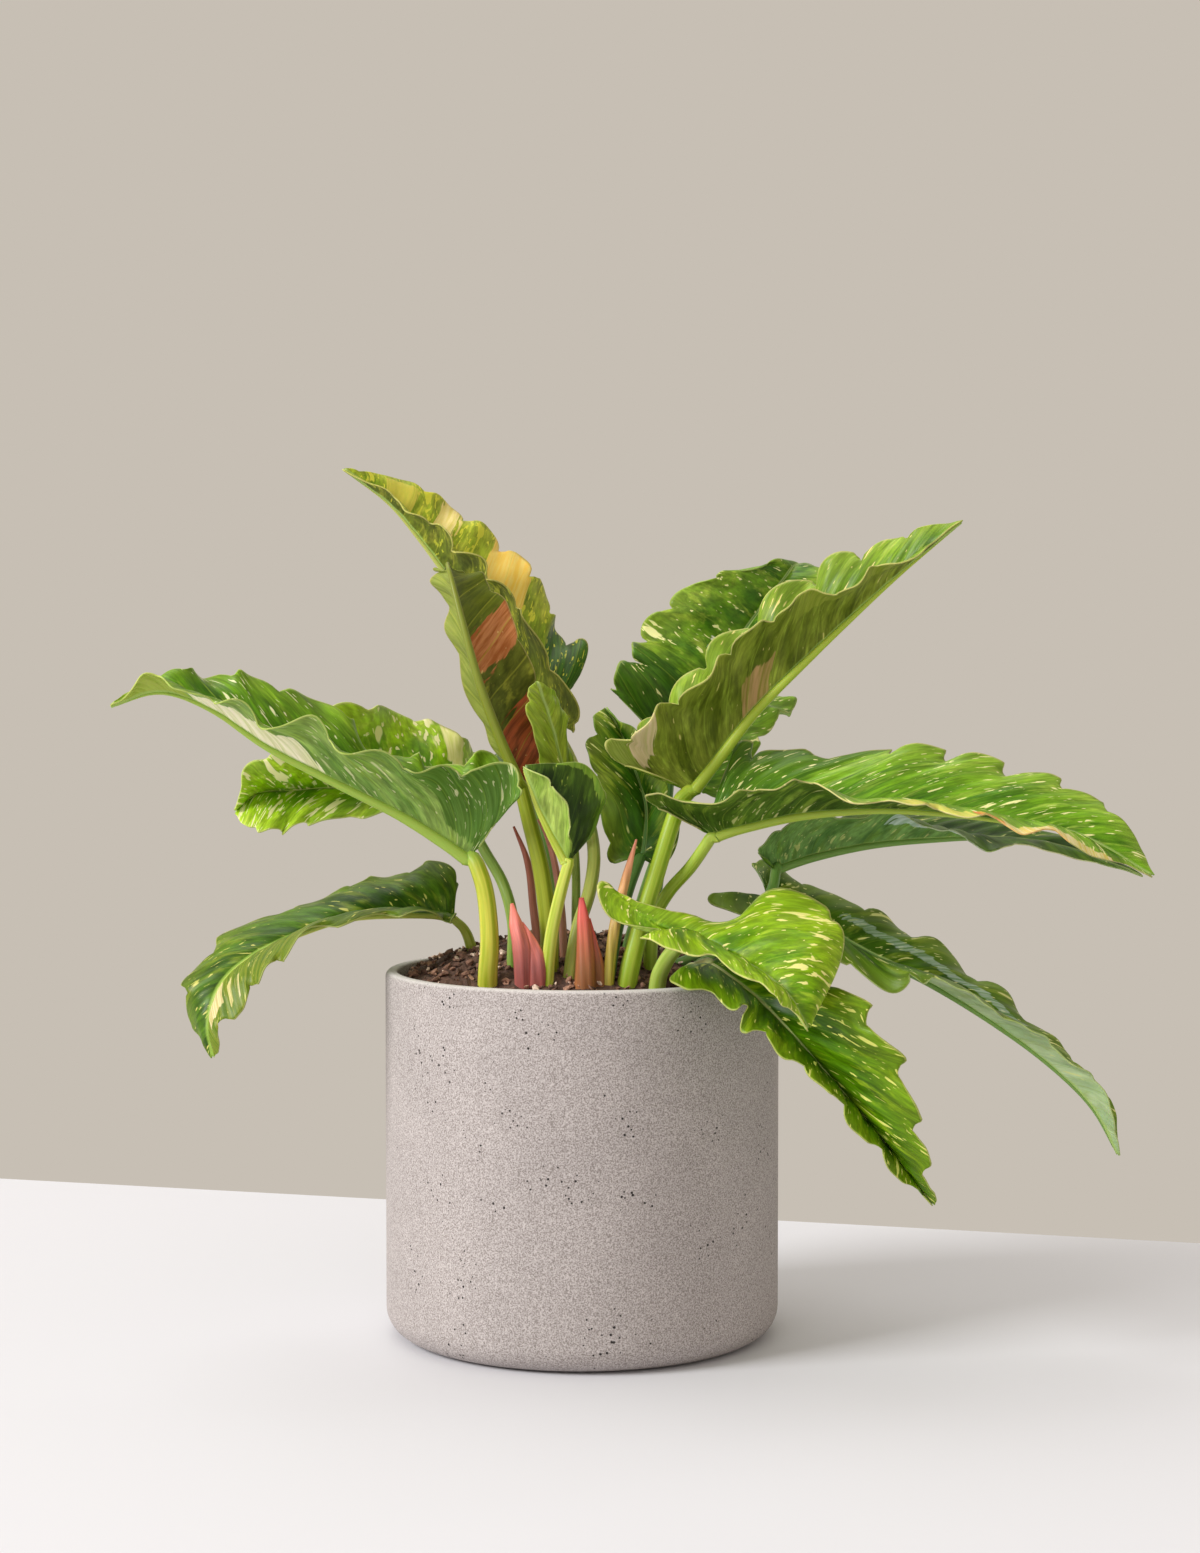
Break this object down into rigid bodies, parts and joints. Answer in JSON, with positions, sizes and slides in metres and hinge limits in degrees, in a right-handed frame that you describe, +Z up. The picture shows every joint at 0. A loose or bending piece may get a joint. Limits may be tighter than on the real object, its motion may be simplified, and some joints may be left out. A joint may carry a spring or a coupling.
{
  "type": "potted philodendron plant",
  "caption": "Variegated philodendron with long toothed leaves and pink leaf sheaths, growing in a round grey stone-effect planter.",
  "frame": {"origin": "centre of the pot's flat foot, on the surface it stands on", "axes": "+X to the right in the front view, along the plant's widest spread; +Y to the back; +Z up"},
  "size_m": [0.501, 0.3532, 0.444],
  "materials": {
    "pot": "matt, fine speckle and small pits",
    "soil": "rough bark potting mix",
    "root": "rough",
    "leaf": "waxy leaf, satin, green with cream, yellow and orange marks",
    "sheath": "waxy, satin pink"
  },
  "bodies": {
    "root": {"pot": "pot", "soil": "soil", "rootstock": "root", "leaf_left_upper": "leaf", "leaf_left_back": "leaf", "leaf_left_low": "leaf", "leaf_tall_back": "leaf", "leaf_orange": "leaf", "leaf_small_front": "leaf", "leaf_small_olive": "leaf", "leaf_right_tall": "leaf", "leaf_right_back": "leaf", "leaf_right_mid": "leaf", "leaf_right_under": "leaf", "leaf_right_low": "leaf", "leaf_front_right": "leaf", "leaf_front_low": "leaf", "leaf_inner_dark": "leaf", "leaf_back_right": "leaf", "leaf_back_left": "leaf", "sheath_red_left": "sheath", "sheath_red_middle": "sheath", "spear_orange": "sheath", "sheath_thin_left": "sheath", "sheath_thin_middle": "sheath"}
  },
  "joints": []
}
